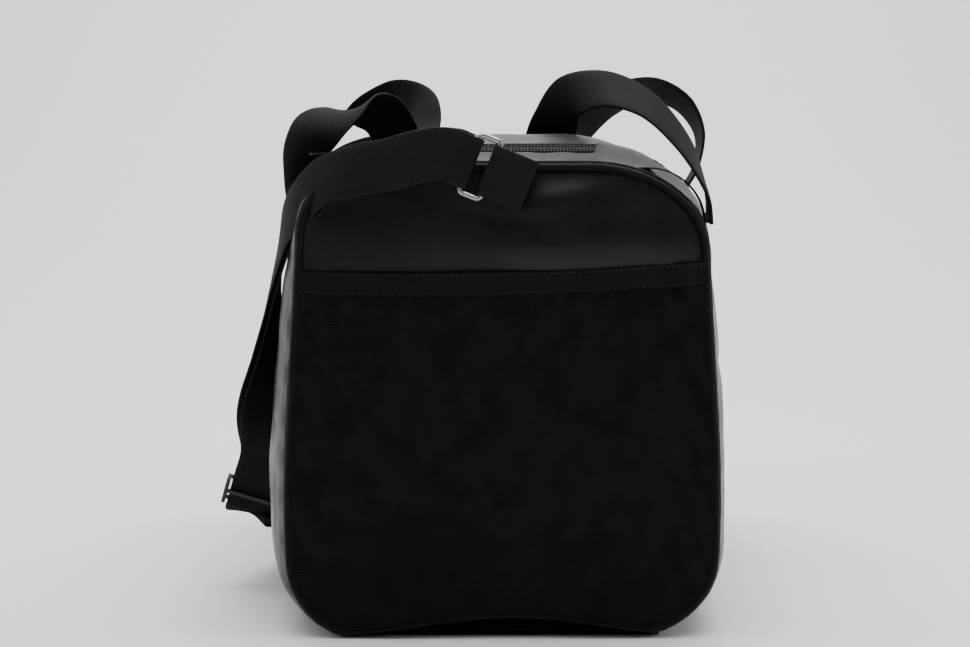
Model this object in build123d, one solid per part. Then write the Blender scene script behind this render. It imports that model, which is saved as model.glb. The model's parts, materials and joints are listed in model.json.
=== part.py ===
"""Small end-pocket skate bag: coated-fabric body, zipped U lid, webbing handles and shoulder strap.

Frame: millimetres, +Z up, +Y along the bag from the near end to the far end,
+X to the right of someone who faces the near end. The origin is on the floor,
under the middle of the base.
"""
from build123d import *
import os
from math import cos, radians, sin

os.makedirs("parts", exist_ok=True)

# ---- Body: overall sizes --------------------------------------------------
LENGTH = 460.0           # end panel to end panel
WIDTH = 300.0            # across the end panel, seam to seam
HEIGHT = 348.0           # floor to the top of the rim
CORNER_R = 44.0          # the end panel's corners
BELLY = 13.0             # how far each side stands out past the end seam at mid length
SHOULDER_BELLY = 10.0    # the same, a hand's width behind the end seam
SHOULDER_REACH = 48.0    # how far behind the end seam that is

# ---- Skins and trim -------------------------------------------------------
SKIN_T = 2.5             # coated fabric with its lining
BASE_T = 2.5             # reinforcing panel under the base
BOARD_T = 3.0            # stiffener that lies inside on the base
BOARD_GAP = 12.0         # how much narrower the stiffener is than the base panel
BOARD_END_GAP = 3.0      # stiffener's end to the seam binding
PIPING_R = 3.0
SEAM_TAPE_T = 1.0        # binding on the raw edges inside the end seams
SEAM_TAPE_W = 10.0

# ---- End pockets ----------------------------------------------------------
POCKET_TOP = HEIGHT - 98.0   # upper edge of the mesh
POCKET_DEPTH = 14.0      # how far the slack mesh stands off the end panel
POCKET_INSET = 8.0       # mesh edge to the body's outer face
POCKET_CORNER_R = 36.0
POCKET_EDGE_R = 8.0
MESH_T = 2.0
BINDING_H = 17.0         # folded tape along the pocket's mouth
BINDING_T = 3.0

# ---- Lid and zip ----------------------------------------------------------
LID_T = 2.5
HINGE_X = CORNER_R + 6.0 - WIDTH / 2   # fold line along the left of the lid
ZIP_X = WIDTH / 2 - CORNER_R - 2.0     # zip centre line along the right side
ZIP_Y = LENGTH / 2 - 30.0              # zip centre line across each end
ZIP_CORNER_R = 24.0
ZIP_GAP = 7.0            # centre line to the fabric's hem on each side
ZIP_END_X = HINGE_X - 24.0   # closed ends of the zip, past the fold line
TAPE_T = 0.8
TAPE_W = 16.0            # centre line to the tape's sewn edge
COIL_GAP = 0.8           # centre line to each row of teeth
COIL_W = 2.6
COIL_T = 1.8
FOLD_GAP = 0.5           # lid to rim at the fold line
TURN_GAP = 3.4           # fold line to the lid's tape and teeth, so that they clear the rim's as the lid turns

# ---- Zip sliders ----------------------------------------------------------
SLIDER_X = HINGE_X - 11.0    # parked past the fold line, with the zip closed
SLIDER_L = 14.0
SLIDER_W = 10.0
SLIDER_PLATE_T = 1.2
SLIDER_CLEAR = 0.4       # slider to teeth and tape
SLIDER_BRIDGE_W = 0.9
PULL_PIN_R = 0.9
PULL_L = 30.0
PULL_W = 8.0
PULL_T = 1.4
PULL_CLEAR = 0.3

# ---- Webbing --------------------------------------------------------------
WEB_W = 38.0
STRAP_T = 1.7
HANDLE_T = 2.6           # two plies
PATCH_T = 1.6            # stitched foot of each handle leg
PATCH_W = WEB_W + 4.0
PATCH_H = 42.0
HANDLE_Y = LENGTH / 2 - 112.0   # middle of each handle foot
HANDLE_CLEAR = 1.2       # handle to its stitched foot
PATCH_TOP = HEIGHT - 44.0

# ---- Shoulder strap hardware ----------------------------------------------
RING_WIRE_R = 2.0
RING_GAP_W = WEB_W + 2.0 # inside the ring, along the webbing's width
RING_REACH = 16.0        # bar to bar
RING_X = -16.0           # middle of each ring
RING_Z = HEIGHT - 2.0
RING_TILT = 22.0         # the ring's bars lean to the right, degrees
RING_STANDOFF = 11.0     # end panel to the ring's middle
LOOP_CLEAR = 0.3         # webbing loop round a ring bar
LOOP_TAIL = 10.0         # bar to where the two plies of a loop end
TAB_L = 30.0             # bar to the sewn end of the anchor tab
GLIDE_BAR = 3.0
GLIDE_W = WEB_W + 2 * GLIDE_BAR + 3.0   # three-bar slider, across the webbing
GLIDE_L = 23.0
GLIDE_SLOT = 2 * STRAP_T + 1.4          # room for two plies


def section(width, height, radius, y, low):
    """A rounded upright outline facing along Y, standing on the height low."""
    plane = Plane(origin=(0, y, low + height / 2), x_dir=(1, 0, 0), z_dir=(0, -1, 0))
    return plane * RectangleRounded(width, height, radius)


def barrel(grow):
    """The body's full soft shape, grown outward by grow (negative shrinks it)."""
    half = LENGTH / 2
    stations = [
        (-half, 0.0),
        (-half + SHOULDER_REACH, SHOULDER_BELLY),
        (0.0, BELLY),
        (half - SHOULDER_REACH, SHOULDER_BELLY),
        (half, 0.0),
    ]
    tall = HEIGHT - BASE_T
    outlines = [
        section(WIDTH + 2 * (out + grow), tall + 2 * grow, CORNER_R + grow, y, BASE_T - grow)
        for y, out in stations
    ]
    return loft(outlines)


def slab(x0, x1, y0, y1, z0, z1):
    """A box between two corners."""
    return Pos((x0 + x1) / 2, (y0 + y1) / 2, (z0 + z1) / 2) * Box(x1 - x0, y1 - y0, z1 - z0)


def lid_outline(edge, start_x):
    """The U's inside, grown by edge from the zip's centre line, from start_x to the right."""
    reach_x = ZIP_X + edge
    reach_y = ZIP_Y + edge
    radius = ZIP_CORNER_R + edge
    wide = Rectangle(reach_x - start_x, 2 * reach_y, align=(Align.MIN, Align.CENTER))
    shape = Pos(start_x, 0) * wide
    corners = shape.vertices().filter_by(lambda v: v.X > start_x + 1)
    return fillet(corners, radius)


def u_band(inner, outer, start_x, low, thick):
    """A flat U-shaped band between two offsets from the zip's centre line."""
    shape = lid_outline(outer, start_x) - lid_outline(inner, start_x - 1)
    return Pos(0, 0, low) * extrude(shape, thick)


def ribbon(route, across, width, thick, steps=4):
    """Webbing of constant width and thickness that follows a smooth route.

    across holds one width direction for each route point. The solid is made of
    flat triangles between cross-sections, steps of them to each span, and its two
    ends are square to the first and last stretch of the route.
    """
    path = Spline([Vector(*p) for p in route])
    spans = len(route) - 1
    marks = [path.param_at_point(Vector(*p)) for p in route]
    rows = []
    for i in range(spans * steps + 1):
        span = min(i // steps, spans - 1)
        part = i / steps - span
        at = marks[span] * (1 - part) + marks[span + 1] * part
        here = path.position_at(at)
        along = path.tangent_at(at)
        if i in (0, spans * steps):
            near_end = 0 if i == 0 else spans - 1
            along = (Vector(*route[near_end + 1]) - Vector(*route[near_end])).normalized()
        ease = part * part * (3 - 2 * part)
        side = Vector(*across[span]).normalized() * (1 - ease)
        side = side + Vector(*across[span + 1]).normalized() * ease
        side = (side - along * side.dot(along)).normalized()
        up = along.cross(side)
        half_w = side * (width / 2)
        half_t = up * (thick / 2)
        rows.append([here - half_w - half_t, here + half_w - half_t,
                     here + half_w + half_t, here - half_w + half_t])
    faces = []
    for a, b in zip(rows, rows[1:]):
        for k in range(4):
            n = (k + 1) % 4
            far = k if k == 2 else n      # both broad sides are split along the same diagonal
            faces.append(triangle(a[k], a[n], b[far]))
            faces.append(triangle(a[n] if k == 2 else a[k], b[n], b[k]))
    for row in (rows[0], rows[-1]):
        faces.append(triangle(row[0], row[1], row[2]))
        faces.append(triangle(row[0], row[2], row[3]))
    return Solid(Shell(faces))


def triangle(a, b, c):
    """One flat three-sided face."""
    return Face(Wire(Polyline(a, b, c, close=True).edges()))


# ---- Body -----------------------------------------------------------------
def body_shell():
    """Sides, rim and floor in one wrap, open at both ends and under the lid."""
    shell = barrel(0) - barrel(-SKIN_T)
    mouth = extrude(lid_outline(ZIP_GAP, HINGE_X - FOLD_GAP), 6 * SKIN_T)
    mouth = Pos(0, 0, HEIGHT - 3 * SKIN_T) * mouth
    shell = shell - mouth
    for y in (-ZIP_Y, ZIP_Y):
        shell = shell - slab(ZIP_END_X + 2, HINGE_X, y - ZIP_GAP, y + ZIP_GAP,
                             HEIGHT - 3 * SKIN_T, HEIGHT + SKIN_T)
    return shell


def base_panel():
    """Flat reinforcement that the bag stands on."""
    wide = WIDTH - 2 * CORNER_R + 2 * SHOULDER_BELLY
    plate = Rectangle(wide, LENGTH)
    plate = fillet(plate.vertices(), CORNER_R / 2)
    return extrude(plate, BASE_T)


def base_board():
    """Loose stiffener inside, on the body's floor."""
    wide = WIDTH - 2 * CORNER_R + 2 * SHOULDER_BELLY - BOARD_GAP
    plate = Rectangle(wide, LENGTH - 2 * (SKIN_T + SEAM_TAPE_W + BOARD_END_GAP))
    plate = fillet(plate.vertices(), CORNER_R / 2)
    return Pos(0, 0, BASE_T + SKIN_T) * extrude(plate, BOARD_T)


def end_outline(inset, y, radius=None):
    """The end seam's outline, drawn in by inset."""
    tall = HEIGHT - BASE_T
    return section(WIDTH - 2 * inset, tall - 2 * inset, radius or CORNER_R - inset, y, BASE_T + inset)


def end_panel(side):
    """The end wall, set into the body's open end."""
    y = side * LENGTH / 2
    return extrude(end_outline(SKIN_T, y), amount=SKIN_T * side)


def piping(side):
    """Cord-filled edge that covers the end seam."""
    y = side * (LENGTH / 2 + PIPING_R)
    outline = end_outline(SKIN_T / 2, y).wire()
    start = Plane(origin=outline @ 0, z_dir=outline % 0)
    return sweep(start * Circle(PIPING_R), path=outline)


def seam_tape(side):
    """Binding round the inside of an end seam."""
    y = side * (LENGTH / 2 - SKIN_T)
    ring = end_outline(SKIN_T, y) - end_outline(SKIN_T + SEAM_TAPE_T, y)
    return extrude(ring, amount=SEAM_TAPE_W * side)


def mesh_pocket(side):
    """Slack mesh over the lower end wall, open along its top."""
    y = side * LENGTH / 2
    outer = extrude(end_outline(POCKET_INSET, y, POCKET_CORNER_R), amount=-POCKET_DEPTH * side)
    front = outer.faces().sort_by(Axis.Y)[0 if side < 0 else -1]
    outer = fillet(front.edges(), POCKET_EDGE_R)
    inner = extrude(end_outline(POCKET_INSET + MESH_T, y, POCKET_CORNER_R - MESH_T),
                    amount=-(POCKET_DEPTH - MESH_T) * side)
    inner_front = inner.faces().sort_by(Axis.Y)[0 if side < 0 else -1]
    inner = fillet(inner_front.edges(), POCKET_EDGE_R - MESH_T)
    above = slab(-WIDTH, WIDTH, -LENGTH, LENGTH, POCKET_TOP, 2 * HEIGHT)
    return outer - inner - above


def pocket_binding(side):
    """Folded tape on the pocket's mouth, with its two ends turned back to the wall."""
    half = WIDTH / 2 - POCKET_INSET
    y_out = LENGTH / 2 + POCKET_DEPTH
    y_in = y_out - BINDING_T
    top = POCKET_TOP + BINDING_H
    strip = slab(-half, half, y_in, y_out, POCKET_TOP, top)
    for x in (-half, half - BINDING_T):
        strip += slab(x, x + BINDING_T, LENGTH / 2, y_out, POCKET_TOP, top)
    edges = strip.edges().filter_by(Axis.Z).filter_by(lambda e: e.center().Y > y_out - 0.1)
    strip = fillet(edges, BINDING_T * 0.9)
    return strip if side > 0 else mirror(strip, Plane.XZ)


def handle_patches(side):
    """The stitched feet of one handle, wrapped on the body's side."""
    skin = barrel(PATCH_T) - barrel(0)
    feet = []
    for y in (-HANDLE_Y, HANDLE_Y):
        x0, x1 = sorted((0, side * WIDTH))
        window = slab(x0, x1, y - PATCH_W / 2, y + PATCH_W / 2, PATCH_TOP - PATCH_H, PATCH_TOP)
        feet += (skin & window).solids()
    return Compound(feet)


# ---- Lid and zip ----------------------------------------------------------
def lid_panel():
    """The lid's fabric, flush with the rim."""
    return Pos(0, 0, HEIGHT - LID_T) * extrude(lid_outline(-ZIP_GAP, HINGE_X), LID_T)


def lid_zip_tape():
    return u_band(-TAPE_W, -COIL_GAP, HINGE_X + TURN_GAP, HEIGHT, TAPE_T)


def lid_zip_coil():
    return u_band(-COIL_GAP - COIL_W, -COIL_GAP, HINGE_X + TURN_GAP, HEIGHT + TAPE_T, COIL_T)


def body_zip_tape():
    """Outer tape of the zip, with both closed ends past the lid's fold."""
    tape = u_band(COIL_GAP, TAPE_W, ZIP_END_X - TAPE_W / 2, HEIGHT, TAPE_T)
    stop_x = HINGE_X - FOLD_GAP
    for y in (-ZIP_Y, ZIP_Y):
        inward = -1 if y > 0 else 1
        y0, y1 = sorted((y + inward * COIL_GAP, y + inward * TAPE_W))
        tape += slab(ZIP_END_X - TAPE_W / 2, stop_x, y0, y1, HEIGHT, HEIGHT + TAPE_T)
        tape += slab(ZIP_END_X - TAPE_W / 2, ZIP_END_X, y - TAPE_W, y + TAPE_W, HEIGHT, HEIGHT + TAPE_T)
    return tape


def body_zip_coil():
    """Outer row of teeth, and the short inner rows past the lid's fold."""
    coil = [u_band(COIL_GAP, COIL_GAP + COIL_W, ZIP_END_X, HEIGHT + TAPE_T, COIL_T)]
    stop_x = HINGE_X - FOLD_GAP
    for y in (-ZIP_Y, ZIP_Y):
        inward = -1 if y > 0 else 1
        y0, y1 = sorted((y + inward * COIL_GAP, y + inward * (COIL_GAP + COIL_W)))
        coil.append(slab(ZIP_END_X, stop_x, y0, y1, HEIGHT + TAPE_T, HEIGHT + TAPE_T + COIL_T))
    return Compound([s for piece in coil for s in piece.solids()])


def zip_end_stops():
    """A crimped block at each closed end of the zip."""
    reach = COIL_GAP + COIL_W
    low = HEIGHT + TAPE_T
    return Compound([
        slab(ZIP_END_X - 3, ZIP_END_X, y - reach, y + reach, low, low + COIL_T + 0.4)
        for y in (-ZIP_Y, ZIP_Y)
    ])


def slider_pin_z():
    """Height of the pull's pin above the slider's top plate."""
    top_plate = HEIGHT + TAPE_T + COIL_T + SLIDER_CLEAR + SLIDER_PLATE_T
    return top_plate + PULL_PIN_R + PULL_T + PULL_CLEAR


def zip_slider(y):
    """Two plates round the teeth, the bridge between the rows, and the pull's lug."""
    low = HEIGHT - SLIDER_CLEAR
    high = HEIGHT + TAPE_T + COIL_T + SLIDER_CLEAR
    half_l = SLIDER_L / 2
    half_w = SLIDER_W / 2
    x0 = SLIDER_X - half_l
    x1 = SLIDER_X + half_l
    body = slab(x0, x1, y - half_w, y + half_w, high, high + SLIDER_PLATE_T)
    body += slab(x0, x1, y - half_w, y + half_w, low - SLIDER_PLATE_T, low)
    body = fillet(body.edges().filter_by(Axis.Z), SLIDER_W * 0.3)
    bridge = SLIDER_BRIDGE_W / 2
    body += slab(SLIDER_X - 2, SLIDER_X + 2, y - bridge, y + bridge, low - 0.1, high + 0.1)
    pin_z = slider_pin_z()
    lug_y = PULL_W / 2 + PULL_CLEAR
    pin = Pos(SLIDER_X, y, pin_z) * Rot(90, 0, 0) * Cylinder(PULL_PIN_R, 2 * lug_y + 1)
    for lug in (y - lug_y - 1.2, y + lug_y):
        cheek = slab(SLIDER_X - 2, SLIDER_X + 2, lug, lug + 1.2, high, pin_z)
        cap = Pos(SLIDER_X, lug + 0.6, pin_z) * Rot(90, 0, 0) * Cylinder(2, 1.2)
        body += cheek + cap
    return body + pin


def zip_pull(y):
    """A flat pull with an eye round the slider's pin, lying towards the zip's end."""
    pin_z = slider_pin_z()
    eye_r = PULL_PIN_R + PULL_CLEAR
    eye = Pos(SLIDER_X, y, pin_z) * Rot(90, 0, 0) * Cylinder(eye_r + PULL_T, PULL_W)
    blade = slab(SLIDER_X - PULL_L, SLIDER_X, y - PULL_W / 2, y + PULL_W / 2,
                 pin_z - PULL_T / 2, pin_z + PULL_T / 2)
    blade = fillet(blade.edges().filter_by(Axis.Z).sort_by(Axis.X)[:2], PULL_W * 0.4)
    bore = Pos(SLIDER_X, y, pin_z) * Rot(90, 0, 0) * Cylinder(eye_r, PULL_W + 2)
    return blade + eye - bore


# ---- Carry handles --------------------------------------------------------
# Each handle rises from its near foot, folds over the shoulder, lies along the
# lid and goes back to its far foot. Each row is x, y, z of the middle line, then
# the width direction there.
HANDLE_FOOT_X = WIDTH / 2 + BELLY + PATCH_T + HANDLE_T / 2 + HANDLE_CLEAR
HANDLE_FOOT_Z = PATCH_TOP - 4.0
GRIP_Z = HEIGHT + TAPE_T + COIL_T + HANDLE_T / 2 + 3.0


def handle_rows(sign, rows):
    """Rows of distance in from the foot, share of the foot spacing, height over the rim."""
    return [((sign * (HANDLE_FOOT_X - inward), HANDLE_Y * share, HEIGHT + rise), (sign * ax, ay, az))
            for inward, share, rise, (ax, ay, az) in rows]


FOOT_DROP = HANDLE_FOOT_Z - HEIGHT
GRIP_RISE = GRIP_Z - HEIGHT
RIGHT_HANDLE = handle_rows(1, [
    (0, -1, FOOT_DROP, (0, 1, 0)),
    (1, -1, FOOT_DROP + 17, (0.05, 1, 0)),
    (9, -0.99, FOOT_DROP + 38, (0.15, 1, 0.05)),
    (26, -0.97, 16, (0.35, 0.9, 0.2)),
    (55, -0.92, 45, (0.25, 0.8, 0.5)),
    (86, -0.85, 55, (0, 0.75, 0.65)),
    (113, -0.72, 47, (-0.5, 0.6, 0.6)),
    (124, -0.52, 25, (-0.9, 0.3, 0.3)),
    (128, -0.28, GRIP_RISE + 5, (-1, 0.1, 0.1)),
    (129, 0, GRIP_RISE, (-1, 0, 0)),
    (123, 0.3, GRIP_RISE + 5, (-1, -0.2, 0.1)),
    (104, 0.52, 31, (-0.8, -0.5, 0.35)),
    (68, 0.7, 50, (-0.3, -0.8, 0.6)),
    (34, 0.84, 60, (0.1, -0.85, 0.5)),
    (4, 0.93, 48, (0.2, -0.95, 0.3)),
    (-12, 0.97, 22, (0.1, -1, 0.1)),
    (-12, 0.99, -8, (0, -1, 0)),
    (-4, 1, FOOT_DROP + 18, (0, -1, 0)),
    (0, 1, FOOT_DROP, (0, -1, 0)),
])
LEFT_HANDLE = handle_rows(-1, [
    (0, -1, FOOT_DROP, (0, 1, 0)),
    (-1, -1, FOOT_DROP + 14, (0, 1, 0)),
    (1, -0.99, FOOT_DROP + 34, (-0.1, 1, 0)),
    (8, -0.97, 7, (-0.5, 0.85, 0.1)),
    (23, -0.94, 26, (-0.95, 0.3, 0.15)),
    (37, -0.86, 39, (-1, 0.15, 0.2)),
    (50, -0.74, 48, (-0.9, 0.4, 0.4)),
    (66, -0.62, 45, (-0.8, 0.5, 0.4)),
    (78, -0.48, 29, (-0.9, 0.3, 0.3)),
    (82, -0.27, GRIP_RISE + 4, (-1, 0.1, 0.1)),
    (84, 0, GRIP_RISE, (-1, 0, 0)),
    (86, 0.27, GRIP_RISE + 5, (-1, -0.1, 0.1)),
    (90, 0.46, 30, (-0.9, -0.3, 0.3)),
    (84, 0.6, 48, (-0.8, -0.5, 0.4)),
    (66, 0.74, 54, (-0.4, -0.8, 0.5)),
    (42, 0.86, 46, (-0.1, -0.9, 0.4)),
    (24, 0.94, 24, (0, -1, 0.2)),
    (8, 0.98, -3, (0, -1, 0)),
    (0, 1, FOOT_DROP + 18, (0, -1, 0)),
    (0, 1, FOOT_DROP, (0, -1, 0)),
])


# ---- Shoulder strap -------------------------------------------------------
LOOP_R = RING_WIRE_R + LOOP_CLEAR
PLY_OFFSET = LOOP_R + STRAP_T / 2


def ring_place(side):
    """The ring's own frame: X from the strap's bar to the tab's bar, Z along the bars."""
    return Location((RING_X, side * (LENGTH / 2 + RING_STANDOFF), RING_Z), (0, RING_TILT, 0))


def ring(side):
    """Rectangular wire loop."""
    half_x = RING_REACH / 2
    half_z = RING_GAP_W / 2 + RING_WIRE_R
    outline = Plane.XZ * RectangleRounded(2 * half_x, 2 * half_z, RING_WIRE_R * 1.6)
    path = outline.wire()
    start = Plane(origin=path @ 0, z_dir=path % 0)
    return ring_place(side) * sweep(start * Circle(RING_WIRE_R), path=path)


def web_loop(side, bar, tail):
    """Webbing folded round one bar of the ring; its two plies run tail away from the bar.

    bar is -1 for the strap's bar and +1 for the anchor tab's bar.
    """
    outer = Circle(LOOP_R + STRAP_T) + Pos(tail / 2 * bar, 0) * Rectangle(tail, 2 * (LOOP_R + STRAP_T))
    inner = Circle(LOOP_R) + Pos(tail * bar, 0) * Rectangle(2 * tail, 2 * LOOP_R)
    fold = extrude(outer - inner, WEB_W / 2, both=True)
    return ring_place(side) * (Pos(bar * RING_REACH / 2, 0, 0) * fold)


def anchor_tab(side):
    """Webbing tab that holds the ring, with a filler ply between its sewn ends."""
    tab = web_loop(side, 1, TAB_L)
    filler = slab(LOOP_TAIL, TAB_L, -LOOP_R, LOOP_R, -WEB_W / 2, WEB_W / 2)
    filler = ring_place(side) * (Pos(RING_REACH / 2, 0, 0) * filler)
    return tab + filler


def strap_start(side, ply, lead=0.0):
    """Where a ply of the strap leaves its ring loop, or lead further on; ply is +1 for the outer ply."""
    out = RING_REACH / 2 + LOOP_TAIL + lead
    x = RING_X - out * cos(radians(RING_TILT))
    z = RING_Z + out * sin(radians(RING_TILT))
    y = side * (LENGTH / 2 + RING_STANDOFF + ply * PLY_OFFSET)
    return (x, y, z)


RING_ACROSS = (sin(radians(RING_TILT)), 0, cos(radians(RING_TILT)))
SIDE_X = -(WIDTH / 2 + BELLY)    # the left side at its fullest
END_Y = LENGTH / 2
GLIDE_AT = (SIDE_X - 40, -0.26 * END_Y, 74)
GLIDE_ALONG = (-0.28, 0.34, -0.90)
GLIDE_ACROSS = (0.86, 0.10, -0.5)


def beside_glide(distance, offset):
    """A point on the straight stretch through the three-bar slider."""
    plane = glide_plane()
    return tuple(plane.from_local_coords(Vector(0, distance, offset)))


def glide_plane():
    """The three-bar slider's frame: X across the webbing, Y along it."""
    along = Vector(*GLIDE_ALONG).normalized()
    across = Vector(*GLIDE_ACROSS)
    across = (across - along * across.dot(along)).normalized()
    return Plane(origin=GLIDE_AT, x_dir=tuple(across), z_dir=tuple(across.cross(along)))


PLY_SPLIT = STRAP_T / 2 + 0.35   # half the spacing of two plies in the slider

LEAD = 7.0                       # straight webbing past a ring loop

# Each row: x, y, z of the middle line, then the width direction there.
NEAR_RUN = [
    (strap_start(-1, 1), RING_ACROSS),
    (strap_start(-1, 1, LEAD), RING_ACROSS),
    ((RING_X - 42, -END_Y - 15.5, HEIGHT + 7), (0.1, 0, 1)),
    ((RING_X - 64, -END_Y - 16, HEIGHT + 3), (0, 0, 1)),
    ((SIDE_X + 51, -END_Y - 16, HEIGHT + 2), (0, 0, 1)),
    ((SIDE_X + 22, -END_Y - 14, HEIGHT - 3), (-0.1, 0, 1)),
    ((SIDE_X - 1, -END_Y - 4, HEIGHT - 14), (-0.2, 0.3, 0.9)),
    ((SIDE_X - 7, -0.9 * END_Y, 0.897 * HEIGHT), (-0.1, 0.6, 0.75)),
    ((SIDE_X - 10, -0.774 * END_Y, 0.81 * HEIGHT), (0, 0.8, 0.6)),
    ((SIDE_X - 15, -0.652 * END_Y, 0.70 * HEIGHT), (0.15, 0.85, 0.45)),
    ((SIDE_X - 25, -0.535 * END_Y, 0.575 * HEIGHT), (0.5, 0.8, 0.2)),
    ((SIDE_X - 34.5, -0.412 * END_Y, 0.437 * HEIGHT), (0.75, 0.5, -0.15)),
    (beside_glide(-40, PLY_SPLIT), GLIDE_ACROSS),
    (beside_glide(-16, PLY_SPLIT), GLIDE_ACROSS),
    (beside_glide(16, PLY_SPLIT), GLIDE_ACROSS),
]
PLY_GAP = 5.0                    # middle to middle of the two plies between ring and slider


def inner_ply(rows, gap):
    """Rows of a ply that follows another one on its inner side."""
    path = Spline([Vector(*point) for point, _ in rows])
    moved = []
    for point, across in rows:
        along = path.tangent_at(path.param_at_point(Vector(*point)))
        side = Vector(*across).normalized()
        side = (side - along * side.dot(along)).normalized()
        moved.append((tuple(Vector(*point) + along.cross(side) * gap), across))
    return moved


RETURN_RUN = [
    (strap_start(-1, -1), RING_ACROSS),
    (strap_start(-1, -1, LEAD), RING_ACROSS),
    *inner_ply(NEAR_RUN, PLY_GAP)[2:-3],
    (beside_glide(-40, -PLY_SPLIT - 1.2), GLIDE_ACROSS),
    (beside_glide(-16, -PLY_SPLIT), GLIDE_ACROSS),
    (beside_glide(4, -PLY_SPLIT), GLIDE_ACROSS),
]
FAR_RUN = [
    (beside_glide(16, PLY_SPLIT), GLIDE_ACROSS),
    (beside_glide(26, PLY_SPLIT), GLIDE_ACROSS),
    ((SIDE_X - 40, -0.12 * END_Y, 30), (0.85, 0.2, -0.2)),
    ((SIDE_X - 33, 0.04 * END_Y, 29), (0.7, -0.1, 0.4)),
    ((SIDE_X - 27, 0.22 * END_Y, 0.13 * HEIGHT), (0.4, -0.3, 0.8)),
    ((SIDE_X - 23, 0.39 * END_Y, 0.215 * HEIGHT), (0.15, -0.5, 0.8)),
    ((SIDE_X - 19, 0.56 * END_Y, 0.345 * HEIGHT), (0.05, -0.7, 0.65)),
    ((SIDE_X - 16, 0.675 * END_Y, 0.465 * HEIGHT), (0, -0.75, 0.6)),
    ((SIDE_X - 14, 0.774 * END_Y, 0.586 * HEIGHT), (0, -0.8, 0.55)),
    ((SIDE_X - 10, 0.878 * END_Y, 0.741 * HEIGHT), (0, -0.8, 0.6)),
    ((SIDE_X - 5, 0.965 * END_Y, 0.868 * HEIGHT), (-0.1, -0.6, 0.75)),
    ((SIDE_X + 8, END_Y + 9, HEIGHT - 16), (-0.2, -0.3, 0.9)),
    ((SIDE_X + 36, END_Y + 17, HEIGHT - 2), (-0.1, 0, 1)),
    ((SIDE_X + 72, END_Y + 17, HEIGHT + 3), (0, 0, 1)),
    ((RING_X - 44, END_Y + 15.5, HEIGHT + 7), (0.1, 0, 1)),
    (strap_start(1, 1, LEAD), RING_ACROSS),
    (strap_start(1, 1), RING_ACROSS),
]


def webbing(rows, thick):
    """One stretch of strap or handle."""
    return ribbon([row[0] for row in rows], [row[1] for row in rows], WEB_W, thick)


def three_bar_slider():
    """End bars in front of the webbing, centre bar behind it, joined by side rails."""
    half_w = GLIDE_W / 2
    half_l = GLIDE_L / 2
    slot = GLIDE_SLOT / 2
    bar_t = 2.2
    deep = slot + bar_t
    frame = slab(-half_w, -half_w + GLIDE_BAR, -half_l, half_l, -deep, deep)
    frame += slab(half_w - GLIDE_BAR, half_w, -half_l, half_l, -deep, deep)
    for y in (-half_l, half_l - GLIDE_BAR):
        frame += slab(-half_w, half_w, y, y + GLIDE_BAR, slot, deep)
    frame += slab(-half_w, half_w, -GLIDE_BAR / 2, GLIDE_BAR / 2, -deep, -slot)
    return glide_plane() * frame


# ---- Write every node -----------------------------------------------------
ENDS = {"near": -1, "far": 1}
SIDES = {"left": -1, "right": 1}

nodes = {
    "body_shell": body_shell(),
    "base_panel": base_panel(),
    "base_board": base_board(),
    "lid_panel": lid_panel(),
    "lid_zip_tape": lid_zip_tape(),
    "lid_zip_coil": lid_zip_coil(),
    "body_zip_tape": body_zip_tape(),
    "body_zip_coil": body_zip_coil(),
    "zip_end_stops": zip_end_stops(),
    "strap_near_run": webbing(NEAR_RUN, STRAP_T),
    "strap_return_run": webbing(RETURN_RUN, STRAP_T),
    "strap_far_run": webbing(FAR_RUN, STRAP_T),
    "strap_three_bar_slider": three_bar_slider(),
}
for name, end in ENDS.items():
    nodes[f"{name}_end_panel"] = end_panel(end)
    nodes[f"{name}_piping"] = piping(end)
    nodes[f"{name}_seam_tape"] = seam_tape(end)
    nodes[f"{name}_mesh_pocket"] = mesh_pocket(end)
    nodes[f"{name}_pocket_binding"] = pocket_binding(end)
    nodes[f"{name}_zip_slider"] = zip_slider(end * ZIP_Y)
    nodes[f"{name}_zip_pull"] = zip_pull(end * ZIP_Y)
    nodes[f"{name}_strap_ring"] = ring(end)
    nodes[f"{name}_strap_tab"] = anchor_tab(end)
    nodes[f"{name}_strap_loop"] = web_loop(end, -1, LOOP_TAIL)
for name, side in SIDES.items():
    nodes[f"{name}_handle_patches"] = handle_patches(side)
nodes["right_handle"] = webbing(RIGHT_HANDLE, HANDLE_T)
nodes["left_handle"] = webbing(LEFT_HANDLE, HANDLE_T)

for name, shape in nodes.items():
    export_step(shape, f"parts/{name}.step")
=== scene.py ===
"""The skate bag's looks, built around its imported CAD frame. Metres, +Z up, near end at -Y."""
import json
import math

import bpy
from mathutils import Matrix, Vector, noise


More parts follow.
